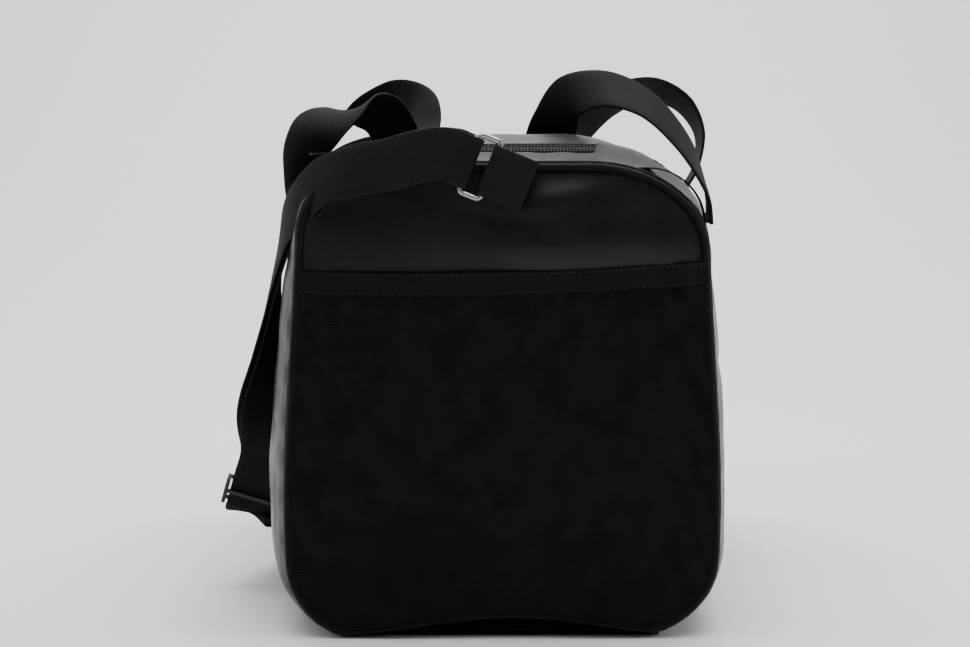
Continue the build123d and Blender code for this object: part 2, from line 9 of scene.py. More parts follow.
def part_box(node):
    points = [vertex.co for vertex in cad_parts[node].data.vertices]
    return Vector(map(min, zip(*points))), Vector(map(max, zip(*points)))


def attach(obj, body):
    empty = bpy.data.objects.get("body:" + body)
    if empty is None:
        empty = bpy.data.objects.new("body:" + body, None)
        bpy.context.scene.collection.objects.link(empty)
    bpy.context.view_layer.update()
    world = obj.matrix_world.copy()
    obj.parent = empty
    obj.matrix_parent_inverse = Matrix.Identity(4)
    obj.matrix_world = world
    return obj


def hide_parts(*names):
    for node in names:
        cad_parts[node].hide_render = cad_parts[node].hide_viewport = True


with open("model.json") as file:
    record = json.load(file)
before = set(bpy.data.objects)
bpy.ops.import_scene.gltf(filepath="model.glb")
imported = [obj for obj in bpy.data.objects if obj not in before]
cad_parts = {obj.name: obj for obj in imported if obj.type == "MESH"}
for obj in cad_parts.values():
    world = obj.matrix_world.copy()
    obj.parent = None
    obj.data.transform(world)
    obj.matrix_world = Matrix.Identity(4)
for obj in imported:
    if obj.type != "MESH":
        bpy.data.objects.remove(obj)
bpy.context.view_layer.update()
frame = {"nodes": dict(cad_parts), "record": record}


# ---- Sizes, from the frame ------------------------------------------------
shell_low, shell_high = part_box("body_shell")
HALF_L = shell_high[1]                    # end seam
RIM_Z = shell_high[2]                     # top of the rim
FLOOR_Z = shell_low[2]                    # underside of the body, on the base panel
END_HALF_W = 0.1480                       # end seam's half width, above its waist
BELLY = {-1: 0.0175, 1: 0.0105}           # each side's bulge behind the end seam
CORNERS = {                               # each corner's reach across and down
    "top_left": (0.052, 0.052), "top_right": (0.084, 0.060),
    "low_left": (0.046, 0.054), "low_right": (0.060, 0.056),
}
SKIN = 0.0025
ARCH = 0.015                              # the end seam lifts off the floor in the middle

tape_low, tape_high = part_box("lid_zip_tape")
HINGE_X = tape_low[0]
COIL_EDGE = 0.0008
ZIP_X = tape_high[0] + COIL_EDGE + 0.013     # drawn over on to the soft shoulder
ZIP_Y = tape_high[1] + COIL_EDGE
ZIP_R = 0.020
ZIP_GAP = 0.007
ZIP_END_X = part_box("body_zip_coil")[0][0]
TAPE_W = 0.016
TAPE_END_X = ZIP_END_X - 0.006            # the body tape runs on past the teeth
TAPE_LIFT = 0.0005

binding_low, binding_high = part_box("near_pocket_binding")
WEB_W = 0.038
STRAP_T = 0.0017
HANDLE_T = 0.0026


# ---- Small maths ----------------------------------------------------------
def smooth(t):
    """0 to 1 with soft ends."""
    t = min(max(t, 0.0), 1.0)
    return t * t * (3 - 2 * t)


def bell(value, middle, spread):
    return math.exp(-(((value - middle) / spread) ** 2))


def eased(k, count):
    """-1 to 1 over count places, closer together towards both ends."""
    return math.sin(math.pi / 2 * (2 * k / (count - 1) - 1))


def wobble(x, y, z, scale, seed=0.0):
    """Soft noise, the same on every run."""
    return noise.noise(Vector((x * scale + seed, y * scale - seed, z * scale + 2 * seed)))


def curve_through(points, per_span):
    """Points along a smooth curve that passes through every given point."""
    pts = [Vector(p) for p in points]
    pts = [pts[0] * 2 - pts[1]] + pts + [pts[-1] * 2 - pts[-2]]
    out = []
    for k in range(1, len(pts) - 2):
        p0, p1, p2, p3 = pts[k - 1:k + 3]
        t1 = math.sqrt((p1 - p0).length) or 1e-6
        t2 = t1 + (math.sqrt((p2 - p1).length) or 1e-6)
        t3 = t2 + (math.sqrt((p3 - p2).length) or 1e-6)
        for step in range(per_span):
            t = t1 + (t2 - t1) * step / per_span
            a1 = p0 * ((t1 - t) / t1) + p1 * (t / t1)
            a2 = p1 * ((t2 - t) / (t2 - t1)) + p2 * ((t - t1) / (t2 - t1))
            a3 = p2 * ((t3 - t) / (t3 - t2)) + p3 * ((t - t2) / (t3 - t2))
            b1 = a1 * ((t2 - t) / t2) + a2 * (t / t2)
            b2 = a2 * ((t3 - t) / (t3 - t1)) + a3 * ((t - t1) / (t3 - t1))
            out.append(b1 * ((t2 - t) / (t2 - t1)) + b2 * ((t - t1) / (t2 - t1)))
    out.append(pts[-2])
    return out


# ---- Mesh making ----------------------------------------------------------
def mesh_piece(name, verts, faces, uvs=None):
    """A smooth-shaded object. uvs holds one (u, v) for each vertex, in metres."""
    mesh = bpy.data.meshes.new(name)
    mesh.from_pydata([tuple(v) for v in verts], [], faces)
    if uvs:
        layer = mesh.uv_layers.new(name="UVMap")
        for loop in mesh.loops:
            layer.data[loop.index].uv = uvs[loop.vertex_index]
    mesh.validate()
    mesh.polygons.foreach_set("use_smooth", [True] * len(mesh.polygons))
    mesh.update()
    obj = bpy.data.objects.new(name, mesh)
    bpy.context.scene.collection.objects.link(obj)
    return obj


def sheet_grid(name, columns, rows, point, uv, keep=None, closed=False):
    """A grid of columns x rows points. keep(i, j) says which cells stay."""
    verts = [point(i, j) for j in range(rows) for i in range(columns)]
    uvs = [uv(i, j) for j in range(rows) for i in range(columns)]
    faces = []
    for j in range(rows - 1):
        for i in range(columns if closed else columns - 1):
            n = (i + 1) % columns
            if keep and not keep(i, j):
                continue
            low, high = j * columns, (j + 1) * columns
            faces.append((low + i, low + n, high + n, high + i))
    return mesh_piece(name, verts, faces, uvs)


def modifier(obj, kind, **settings):
    """Adds a modifier and applies it, so the mesh is final."""
    mod = obj.modifiers.new(kind.lower(), kind)
    for key, value in settings.items():
        setattr(mod, key, value)
    graph = bpy.context.evaluated_depsgraph_get()
    mesh = bpy.data.meshes.new_from_object(obj.evaluated_get(graph))
    obj.modifiers.clear()
    old = obj.data
    obj.data = mesh
    mesh.name = obj.name
    bpy.data.meshes.remove(old)
    return obj


def thicken(obj, thickness, offset=-1.0):
    return modifier(obj, "SOLIDIFY", thickness=thickness, offset=offset, use_even_offset=False)


def tube(name, path, radius, sides=12, closed=False, radius_at=None):
    """A round tube along points, with its frame carried along."""
    count = len(path)
    verts, uvs, faces = [], [], []
    normal = None
    run = 0.0
    for k in range(count):
        before = path[(k - 1) % count] if closed or k else path[k]
        after = path[(k + 1) % count] if closed or k < count - 1 else path[k]
        along = (after - before).normalized()
        if normal is None:
            normal = along.orthogonal().normalized()
        normal = (normal - along * normal.dot(along)).normalized()
        side = along.cross(normal)
        if k:
            run += (path[k] - path[k - 1]).length
        r = radius * (radius_at(k / count) if radius_at else 1.0)
        for s in range(sides):
            a = 2 * math.pi * s / sides
            verts.append(path[k] + normal * (r * math.cos(a)) + side * (r * math.sin(a)))
            uvs.append((run, radius * a))
    spans = count if closed else count - 1
    for k in range(spans):
        n = (k + 1) % count
        for s in range(sides):
            m = (s + 1) % sides
            faces.append((k * sides + s, k * sides + m, n * sides + m, n * sides + s))
    if not closed:
        faces.append(tuple(range(sides))[::-1])
        faces.append(tuple((count - 1) * sides + s for s in range(sides)))
    return mesh_piece(name, verts, faces, uvs)


def webbing(name, route, across, width, thick, per_span=10, cup=0.0, settle=6):
    """A woven strap: rounded edges, a slight cup across, and even twists.

    route and across hold one place and one width direction for each point.
    """
    path = curve_through(route, per_span)
    sides = curve_through([Vector(a).normalized() for a in across], per_span)
    count = len(path)
    alongs = []
    for k in range(count):
        alongs.append((path[min(k + 1, count - 1)] - path[max(k - 1, 0)]).normalized())
    for _ in range(settle):
        inner = [(sides[k - 1] + sides[k] * 2 + sides[k + 1]) / 4 for k in range(1, count - 1)]
        sides = [sides[0]] + inner + [sides[-1]]
    half = width / 2
    edge = thick * 0.42
    profile = [(-half, 0.0), (-half + edge * 0.4, 0.36), (-half + edge, 0.5)]
    lanes = 6
    profile += [(-half + edge + (2 * half - 2 * edge) * k / lanes, 0.5) for k in range(1, lanes)]
    profile += [(half - edge, 0.5), (half - edge * 0.4, 0.36), (half, 0.0)]
    under = [(u, -h) for u, h in reversed(profile[1:-1])]
    ring = profile + under
    verts, uvs, faces = [], [], []
    run = 0.0
    for k in range(count):
        if k:
            run += (path[k] - path[k - 1]).length
        side = (sides[k] - alongs[k] * sides[k].dot(alongs[k])).normalized()
        up = alongs[k].cross(side)
        for u, h in ring:
            bow = cup * ((u / half) ** 2 - 0.33)
            verts.append(path[k] + side * u + up * (h * thick + bow))
            uvs.append((u, run))
    size = len(ring)
    for k in range(count - 1):
        for s in range(size):
            m = (s + 1) % size
            faces.append((k * size + s, k * size + m, (k + 1) * size + m, (k + 1) * size + s))
    faces.append(tuple(range(size))[::-1])
    faces.append(tuple((count - 1) * size + s for s in range(size)))
    return mesh_piece(name, verts, faces, uvs)


def stitches(name, lines, length=0.0030, gap=0.0012, radius=0.00038):
    """Rows of raised thread. Each line is a list of points on the surface."""
    verts, faces = [], []
    sides = 6
    for line in lines:
        marks = [0.0]
        for a, b in zip(line, line[1:]):
            marks.append(marks[-1] + (b - a).length)

        def at(s):
            for k in range(1, len(marks)):
                if s <= marks[k] or k == len(marks) - 1:
                    span = marks[k] - marks[k - 1] or 1e-9
                    return line[k - 1].lerp(line[k], (s - marks[k - 1]) / span)

        s = gap
        while s + length < marks[-1]:
            a = at(s)
            b = at(s + length)
            along = (b - a).normalized()
            normal = along.orthogonal().normalized()
            side = along.cross(normal)
            base = len(verts)
            verts.append(a)
            for f, r in ((0.25, 0.85), (0.75, 0.85)):
                for t in range(sides):
                    angle = 2 * math.pi * t / sides
                    offset = normal * math.cos(angle) + side * math.sin(angle)
                    verts.append(a.lerp(b, f) + offset * (radius * r))
            verts.append(b)
            first = base + 1
            second = first + sides
            for t in range(sides):
                n = (t + 1) % sides
                faces.append((base, first + n, first + t))
                faces.append((first + t, first + n, second + n, second + t))
                faces.append((second + t, second + n, second + sides))
            s += length + gap
    return mesh_piece(name, verts, faces)


# ---- Materials ------------------------------------------------------------
class Shader:
    """A Principled material and short calls for its procedural nodes."""

    def __init__(self, name, **sockets):
        self.mat = bpy.data.materials.new(name)
        self.mat.use_nodes = True
        self.tree = self.mat.node_tree
        self.out = self.tree.nodes["Principled BSDF"]
        for key, value in sockets.items():
            self.out.inputs[key.replace("_", " ")].default_value = value
        coords = self.tree.nodes.new("ShaderNodeTexCoord")
        self.place = coords.outputs["Object"]
        self.uv = coords.outputs["UV"]

    def link(self, source, target):
        if hasattr(source, "is_output"):
            self.tree.links.new(source, target)
        else:
            target.default_value = source

    def noise(self, scale, detail=3.0, rough=0.5, where=None):
        node = self.tree.nodes.new("ShaderNodeTexNoise")
        node.inputs["Scale"].default_value = scale
        node.inputs["Detail"].default_value = detail
        node.inputs["Roughness"].default_value = rough
        self.link(where or self.place, node.inputs["Vector"])
        return node.outputs["Fac"]

    def maths(self, operation, a, b=0.0, c=0.0):
        node = self.tree.nodes.new("ShaderNodeMath")
        node.operation = operation
        for value, socket in zip((a, b, c), node.inputs):
            self.link(value, socket)
        return node.outputs[0]

    def split(self, vector):
        node = self.tree.nodes.new("ShaderNodeSeparateXYZ")
        self.link(vector, node.inputs[0])
        return node.outputs

    def ramp(self, value, low, high, from_low=0.0, from_high=1.0):
        node = self.tree.nodes.new("ShaderNodeMapRange")
        self.link(value, node.inputs["Value"])
        for key, number in (("From Min", from_low), ("From Max", from_high),
                            ("To Min", low), ("To Max", high)):
            node.inputs[key].default_value = number
        return node.outputs["Result"]

    def tint(self, value, dark, light):
        node = self.tree.nodes.new("ShaderNodeMix")
        node.data_type = "RGBA"
        self.link(value, node.inputs["Factor"])
        node.inputs["A"].default_value = (*dark, 1)
        node.inputs["B"].default_value = (*light, 1)
        self.tree.links.new(node.outputs["Result"], self.out.inputs["Base Color"])

    def rough(self, value):
        self.tree.links.new(value, self.out.inputs["Roughness"])

    def bump(self, *layers):
        """Each layer is (height, strength, distance in metres)."""
        normal = None
        for height, strength, distance in layers:
            node = self.tree.nodes.new("ShaderNodeBump")
            node.inputs["Strength"].default_value = strength
            node.inputs["Distance"].default_value = distance
            self.link(height, node.inputs["Height"])
            if normal:
                self.tree.links.new(normal, node.inputs["Normal"])
            normal = node.outputs["Normal"]
        self.tree.links.new(normal, self.out.inputs["Normal"])


def waves(shader, value, pitch, shift=0.0):
    """0 to 1 ripples along a length in metres."""
    turned = shader.maths("MULTIPLY_ADD", value, 2 * math.pi / pitch, shift)
    return shader.maths("MULTIPLY_ADD", shader.maths("SINE", turned), 0.5, 0.5)


def coated_fabric():
    """Black tarpaulin: satin film over a fine base cloth, with soft handling marks."""
    s = Shader("coated_fabric", Specular_IOR_Level=0.22)
    grain = s.noise(1500, 2.0)
    leather = s.noise(420, 3.0, 0.6)
    cloud = s.noise(14, 4.0, 0.6)
    s.tint(s.maths("MULTIPLY_ADD", cloud, 0.6, s.maths("MULTIPLY", leather, 0.4)),
           (0.0035, 0.0035, 0.0038), (0.0085, 0.0085, 0.0088))
    handled = s.maths("ADD", s.maths("MULTIPLY", cloud, 0.7), s.maths("MULTIPLY", leather, 0.3))
    s.rough(s.ramp(handled, 0.30, 0.46, 0.3, 0.7))
    s.bump((leather, 0.20, 0.0004), (grain, 0.10, 0.0002), (cloud, 0.25, 0.004))
    return s.mat


def base_fabric():
    """Rougher reinforced cloth with a visible plain weave."""
    s = Shader("base_fabric", Roughness=0.8, Specular_IOR_Level=0.12)
    x, y, _ = s.split(s.place)
    weave = s.maths("MULTIPLY", waves(s, x, 0.0011), waves(s, y, 0.0011, 1.5))
    s.tint(weave, (0.004, 0.004, 0.0043), (0.011, 0.011, 0.011))
    s.bump((weave, 0.5, 0.0003), (s.noise(25, 3.0), 0.3, 0.002))
    return s.mat


def mesh_fabric():
    """Fine knitted mesh: rows of small open cells over dark."""
    s = Shader("mesh", Roughness=0.75, Specular_IOR_Level=0.06)
    u, v, _ = s.split(s.uv)
    cell = 0.0021
    rows = s.maths("MULTIPLY", v, 1 / cell)
    odd = s.maths("MULTIPLY", s.maths("FLOOR", rows), math.pi)
    across = s.maths("MULTIPLY_ADD", u, 2 * math.pi / cell, odd)
    holes = s.maths("MULTIPLY_ADD", s.maths("SINE", across), 0.5, 0.5)
    band = waves(s, rows, 1.0)
    thread = s.maths("MAXIMUM", holes, band)
    patchy = s.noise(38, 4.0, 0.65)
    light = s.maths("MULTIPLY", thread, s.ramp(patchy, 0.55, 1.25, 0.3, 0.7))
    s.tint(light, (0.0006, 0.0006, 0.0007), (0.0080, 0.0080, 0.0083))
    s.bump((thread, 0.7, 0.0004), (s.noise(210, 3.0), 0.35, 0.0006), (patchy, 0.25, 0.003))
    return s.mat


def woven_tape(name, dark, light, pitch=0.0010, roughness=0.7):
    """Flat tape with a twill line and slightly shiny yarn."""
    s = Shader(name, Roughness=roughness, Specular_IOR_Level=0.10)
    u, v, _ = s.split(s.uv)
    twill = waves(s, s.maths("ADD", u, v), pitch)
    ribs = waves(s, v, pitch * 0.7)
    cloth = s.maths("MULTIPLY", twill, s.maths("MULTIPLY_ADD", ribs, 0.5, 0.5))
    s.tint(cloth, dark, light)
    s.bump((cloth, 0.5, 0.0003), (s.noise(60, 3.0), 0.2, 0.001))
    return s.mat


def strap_webbing():
    """Black polyester webbing: lengthwise ribs crossed by picks, worn edges."""
    s = Shader("webbing", Roughness=0.66, Specular_IOR_Level=0.12)
    u, v, _ = s.split(s.uv)
    rib = 0.0021
    ribs = waves(s, u, rib)
    lane = s.maths("SINE", s.maths("MULTIPLY", u, math.pi / rib))
    side = s.maths("MULTIPLY", s.maths("SIGN", lane), 1.6)
    slant = s.maths("MULTIPLY_ADD", v, 2 * math.pi / 0.0023, side)
    picks = s.maths("MULTIPLY_ADD", s.maths("SINE", slant), 0.5, 0.5)
    height = s.maths("ADD", s.maths("MULTIPLY", ribs, 0.55), s.maths("MULTIPLY", picks, 0.45))
    edge = s.ramp(s.maths("ABSOLUTE", u), 0.0, 1.0, WEB_W / 2 - 0.0028, WEB_W / 2 - 0.0012)
    dusty = s.noise(33, 4.0, 0.6)
    value = s.maths("ADD", s.maths("MULTIPLY", height, s.ramp(dusty, 0.5, 1.0, 0.3, 0.7)),
                    s.maths("MULTIPLY", edge, 0.25))
    s.tint(value, (0.0025, 0.0025, 0.0027), (0.0110, 0.0110, 0.0114))
    s.bump((height, 0.75, 0.0005), (s.noise(900, 2.0), 0.15, 0.0002))
    return s.mat


def thread():
    s = Shader("thread", Roughness=0.55, Specular_IOR_Level=0.2)
    s.tint(s.noise(700, 2.0), (0.006, 0.006, 0.0063), (0.018, 0.018, 0.0185))
    s.bump((s.noise(2400, 2.0), 0.4, 0.0002))
    return s.mat


def moulded(name, dark, light, low, high):
    """Moulded black plastic with faint flow marks."""
    s = Shader(name, Specular_IOR_Level=0.3)
    marks = s.noise(90, 4.0)
    s.tint(marks, dark, light)
    s.rough(s.ramp(s.noise(260, 3.0), low, high, 0.3, 0.7))
    s.bump((s.noise(1300, 2.0), 0.12, 0.0002))
    return s.mat


def metal(name, dark, light, low, high, metallic=1.0):
    """Plated or painted metal with hairline wear."""
    s = Shader(name, Metallic=metallic)
    wear = s.noise(150, 5.0, 0.7)
    s.tint(wear, dark, light)
    s.rough(s.ramp(s.noise(480, 4.0, 0.7), low, high, 0.3, 0.7))
    s.bump((s.noise(1100, 3.0), 0.08, 0.0002))
    return s.mat


def pale_wall():
    s = Shader("backdrop", Roughness=0.85)
    s.tint(s.noise(1.2, 2.0), (0.78, 0.78, 0.785), (0.80, 0.80, 0.80))
    return s.mat


MATS = {
    "coated_fabric": coated_fabric(),
    "base_fabric": base_fabric(),
    "piping": woven_tape("piping", (0.0020, 0.0020, 0.0022), (0.0065, 0.0065, 0.0068), 0.0012, 0.5),
    "binding_tape": woven_tape("binding_tape", (0.0016, 0.0016, 0.0018), (0.0080, 0.0080, 0.0083)),
    "mesh": mesh_fabric(),
    "webbing": strap_webbing(),
    "zip_tape": woven_tape("zip_tape", (0.0015, 0.0015, 0.0017), (0.0070, 0.0070, 0.0073), 0.0008),
    "zip_coil": moulded("zip_coil", (0.004, 0.004, 0.0042), (0.010, 0.010, 0.0103), 0.35, 0.5),
    "zip_metal": metal("zip_metal", (0.012, 0.012, 0.0125), (0.035, 0.035, 0.036), 0.28, 0.45, 0.6),
    "ring_metal": metal("ring_metal", (0.22, 0.22, 0.225), (0.40, 0.40, 0.41), 0.2, 0.36),
    "slider_plastic": moulded("slider_plastic", (0.009, 0.009, 0.0095), (0.020, 0.020, 0.021),
                              0.28, 0.42),
    "board": moulded("board", (0.04, 0.04, 0.041), (0.07, 0.07, 0.071), 0.5, 0.65),
}
THREAD = thread()


def finish_piece(obj, body, slot, *nodes, mat=None):
    """Gives a piece the material of its slot, parents it to its body, and hides the CAD nodes that
    it stands for.
    """
    obj.data.materials.clear()
    obj.data.materials.append(mat or MATS[slot])
    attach(obj, body)
    if nodes:
        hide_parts(*nodes)


# ---- The bag's soft shape -------------------------------------------------
def waist(z):
    """The sides stand a little wider low down, where the load sits."""
    return 1 + 0.066 * bell(z, 0.095, 0.13) - 0.014 * smooth((z - 0.2) / 0.15)


def belly(y, side):
    """How far a side stands out past the end seam."""
    return BELLY[side] * (1 - min(abs(y) / HALF_L, 1.0) ** (7 if side < 0 else 5))


def crown(x, y):
    """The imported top's swell behind each end seam, flat by the fold and under the grips."""
    reach = smooth((x + 0.098) / 0.085)
    return 0.0125 * reach * smooth((HALF_L - abs(y)) / 0.05) * (1 - 0.62 * bell(y, 0, 0.09))


def arch(x, y):
    """The floor's lift at the end seam, highest in the middle."""
    near_seam = smooth((abs(y) - (HALF_L - 0.03)) / 0.03)
    return ARCH * bell(x, 0.008, 0.085) * near_seam


CORNER_STEPS = 14
WALL_STEPS = 30
RUNS = (("top", 28), ("top_left", CORNER_STEPS), ("left", WALL_STEPS), ("low_left", CORNER_STEPS),
        ("floor", WALL_STEPS), ("low_right", CORNER_STEPS), ("right", WALL_STEPS),
        ("top_right", CORNER_STEPS))
COLUMNS = [(name, k / steps) for name, steps in RUNS for k in range(steps)]


def outline(column, half_left, half_right, low, high):
    """A point of a rounded upright outline, and its outward direction."""
    name, t = column
    top_l, top_r = CORNERS["top_left"], CORNERS["top_right"]
    low_l, low_r = CORNERS["low_left"], CORNERS["low_right"]
    if name == "top":
        start = half_right - top_r[0]
        return (start + (top_l[0] - half_left - start) * t, high), (0, 1)
    if name == "floor":
        start = low_l[0] - half_left
        return (start + (half_right - low_r[0] - start) * t, low), (0, -1)
    if name == "left":
        return (-half_left, (high - top_l[1]) + (low + low_l[1] - high + top_l[1]) * t), (-1, 0)
    if name == "right":
        return (half_right, (low + low_r[1]) + (high - top_r[1] - low - low_r[1]) * t), (1, 0)
    rx, rz = CORNERS[name]
    turn = {"top_left": 1, "low_left": 2, "low_right": 3, "top_right": 0}[name]
    a = math.pi / 2 * (turn + t)
    cx = rx - half_left if name.endswith("left") else half_right - rx
    cz = high - rz if name.startswith("top") else low + rz
    out = Vector((math.cos(a) / rx, math.sin(a) / rz)).normalized()
    return (cx + rx * math.cos(a), cz + rz * math.sin(a)), (out.x, out.y)


def folds(x, y, z, out):
    """Soft dents and puckers of the filled skin, as an outward shift."""
    from_seam = HALF_L - abs(y)
    free = smooth(from_seam / 0.05)
    side = abs(out[0])
    along = z if side > 0.5 else x
    pucker = math.sin(along * 2 * math.pi / 0.031 + 3 * wobble(x, y, z, 9, 3.1))
    shift = 0.0011 * pucker * math.exp(-from_seam / 0.022) * smooth(from_seam / 0.006)
    shift += 0.0040 * wobble(x, y, z, 9, 1.7) * free * side
    shift += 0.0017 * wobble(x, y * 0.6, z, 23, 5.3) * free * side
    crease = wobble(x * 0.4, y * 1.6, z * 0.7, 11, 8.2)
    shift -= 0.0035 * bell(crease, 0.0, 0.07) * free * side * smooth((z - 0.02) / 0.05)
    return shift


def skin_point(column, y, lift=0.0):
    """The outer skin at a column and a place along the bag, lift further out."""
    half_left, half_right = (END_HALF_W + belly(y, side) for side in (-1, 1))
    (x, z), out = outline(column, half_left, half_right, FLOOR_Z, RIM_Z)
    slim = 0.62 * smooth((z - 0.225) / 0.085) * smooth((abs(x) - 0.06) / 0.07)
    x = x * waist(z) - math.copysign(belly(y, 1 if x > 0 else -1) * slim, x)
    if column[0] in ("floor", "low_left", "low_right"):
        z = max(z, FLOOR_Z + arch(x, y))
    shift = folds(x, y, z, out) + lift
    up = crown(x, y) * max(out[1], 0.0) if z > 0.2 else 0.0
    return Vector((x + out[0] * shift, y, max(z + up + out[1] * shift, FLOOR_Z)))


def top_z(x, y):
    """Height of the skin over the top at x."""
    side = "right" if x > 0 else "left"
    half_w = END_HALF_W + 0.38 * belly(y, 1 if x > 0 else -1)
    rx, rz = CORNERS[f"top_{side}"]
    past = (abs(x) / waist(RIM_Z) - (half_w - rx)) / rx
    if past <= 0:
        return RIM_Z + crown(x, y)
    past = min(past, 0.985)
    level = math.sqrt(1 - past * past)
    slope = rz * past / (rx * level)
    return RIM_Z - rz + rz * level + crown(x, y) / math.sqrt(1 + slope * slope)


def inside_zip(x, y, grow):
    """Whether a place is inside the lid's outline, grown from the zip's centre line."""
    reach_x = ZIP_X + grow
    reach_y = ZIP_Y + grow
    if x > reach_x or abs(y) > reach_y:
        return False
    radius = ZIP_R + grow
    dx = x - (reach_x - radius)
    dy = abs(y) - (reach_y - radius)
    return not (dx > 0 and dy > 0 and math.hypot(dx, dy) > radius)


def make_shell():
    """Sides, rim and floor of the bag, open under the lid."""
    stations = [HALF_L * math.sin(math.pi / 2 * k / 62) for k in range(-62, 63)]
    tops = [c for c in COLUMNS if c[0] == "top"]

    def point(i, j):
        return skin_point(COLUMNS[i], stations[j])

    def uv(i, j):
        return (i * 0.0075, stations[j])

    def keep(i, j):
        if i >= len(tops):
            return True
        mid = (point(i, j) + point(i + 1, j + 1)) / 2
        over_lid = mid.x > HINGE_X - 0.001 and inside_zip(mid.x, mid.y, ZIP_GAP)
        garage = ZIP_END_X + 0.002 < mid.x <= HINGE_X and abs(abs(mid.y) - ZIP_Y) < ZIP_GAP
        return not (over_lid or garage)

    shell = sheet_grid("bag_skin", len(COLUMNS), len(stations), point, uv, keep, closed=True)
    thicken(shell, SKIN, -1.0)
    finish_piece(shell, "bag", "coated_fabric", "body_shell")


# ---- Ends -----------------------------------------------------------------
SEAM_HIGH = RIM_Z - 0.0020
SEAM_LOW = FLOOR_Z + 0.0008


def seam_half_width(z, side):
    """Half width of the end seam's outline at a height, on one side."""
    word = "left" if side < 0 else "right"
    rx, rz = CORNERS[f"top_{word}"]
    half_w = END_HALF_W
    if z > SEAM_HIGH - rz:
        rise = min((z - SEAM_HIGH + rz) / rz, 1.0)
        half_w -= rx * (1 - math.sqrt(1 - rise * rise))
    rx, rz = CORNERS[f"low_{word}"]
    if z < FLOOR_Z + rz:
        drop = min((FLOOR_Z + rz - z) / rz, 1.0)
        half_w -= rx * (1 - math.sqrt(1 - drop * drop))
    return half_w * waist(z)


def end_sheet(name, side, low, high, inset, stand_off, columns=72, rows=72):
    """A sheet across the end between two heights, stand_off(s, t, x, z) out from the seam."""

    def place(i, j):
        s = eased(i, columns)
        t = j / (rows - 1)
        level = low(s) + (high(s) - low(s)) * t
        x = s * (seam_half_width(level, s) - inset)
        base = SEAM_LOW + arch(x, HALF_L)
        z = max(level, base + inset) if level < 0.06 else level
        return s, t, x, z

    def point(i, j):
        s, t, x, z = place(i, j)
        return Vector((x, side * (HALF_L + stand_off(s, t, x, z)), z))

    def uv(i, j):
        _, _, x, z = place(i, j)
        return (x, z)

    return sheet_grid(name, columns, rows, point, uv)


def edge_fade(s, t, reach=0.16):
    return smooth((1 - abs(s)) / reach) * smooth(t / reach) * smooth((1 - t) / reach)


def make_end_panel(name, side):
    """The glossy end wall behind the pocket, eased out a little by the load."""

    def stand_off(s, t, x, z):
        above = smooth((z - binding_high[2] + 0.022) / 0.05)
        full = 0.0026 + 0.0080 * smooth((x + 0.02) / 0.05)
        soft = full * (1 - abs(s) ** 3.2) * smooth((SEAM_HIGH - z) / 0.055) ** 0.8 * above
        dent = 0.0020 * wobble(x, side * 1.3, z, 15, 2.4) * edge_fade(s, t, 0.08) * above
        ridge = 0.0030 * bell(z - 0.16 * x, 0.318, 0.0085) * bell(x, 0.048, 0.032)
        hollow = -0.0022 * bell(z + 0.2 * x, 0.306, 0.012) * bell(x, 0.02, 0.05)
        return max(soft + dent + (ridge + hollow) * above - 0.0008, -0.002)

    panel = end_sheet(f"{name}_end_wall", side, lambda s: SEAM_LOW,
                      lambda s: SEAM_HIGH - 0.0005, 0.0015, stand_off)
    thicken(panel, 0.0018, -side)
    finish_piece(panel, "bag", "coated_fabric", f"{name}_end_panel")


def seam_path(side, inset, stand_off):
    """Points round the end seam's outline."""
    path = []
    for column in COLUMNS:
        (x, z), out = outline(column, END_HALF_W, END_HALF_W, FLOOR_Z, SEAM_HIGH + 0.001)
        x *= waist(z)
        if column[0] in ("floor", "low_left", "low_right"):
            z = max(z, FLOOR_Z + arch(x, HALF_L))
        unevenness = 0.0005 * wobble(x, side, z, 22, 4.4)
        x -= out[0] * (inset + unevenness)
        z -= out[1] * (inset + unevenness)
        path.append(Vector((x, side * (HALF_L + stand_off), z)))
    return path


def make_piping(name, side):
    """Bound edge round the end: a folded tape over the seam, with its stitch line."""
    path = seam_path(side, 0.0012, 0.0016)
    edge = tube(f"{name}_bound_edge", path, 0.0030, 14, closed=True,
                radius_at=lambda t: 1 + 0.06 * math.sin(t * 400))
    for v in edge.data.vertices:
        v.co.z = max(v.co.z, 0.0004)
    finish_piece(edge, "bag", "piping", f"{name}_piping")
    row = seam_path(side, 0.0062, 0.0016)
    visible = [p for p in row if p.z > binding_high[2] + 0.004]
    sewn = stitches(f"{name}_edge_stitching", [visible])
    finish_piece(sewn, "bag", "piping", mat=THREAD)


def mouth(s, side):
    """Height of the pocket's upper edge: slightly slanted and slack in the middle."""
    middle = (binding_low[2] + binding_high[2]) / 2 + 0.0078
    return middle - side * 0.0036 * s - 0.0042 * (1 - s * s)


def mesh_depth(s, t, x, z, side):
    """How far the slack mesh hangs off the end wall."""
    hang = 0.0090 * (1 - abs(s) ** 5) * (0.55 + 0.45 * math.sin(math.pi * min(t * 1.05, 1.0)))
    sag = 0.0016 * bell(t, 0.22, 0.18) * (1 - s * s)
    ripple = 0.0016 * wobble(x, side * 2.0, z * 0.45, 26, 6.5) * edge_fade(s, t, 0.2)
    pleat = 0.0011 * math.sin(x * 2 * math.pi / 0.019 + 4 * wobble(x, side, z, 6, 2.2))
    pleat *= smooth((t - 0.72) / 0.28) * smooth((1 - t) / 0.05)
    corner = 0.0022 * math.sin((z * 0.8 + x) * 2 * math.pi / 0.042)
    corner *= bell(abs(s), 0.9, 0.09) * smooth(t / 0.2)
    return 0.0020 + min(max(hang + sag + ripple + pleat + corner, 0.0012), 0.0116)


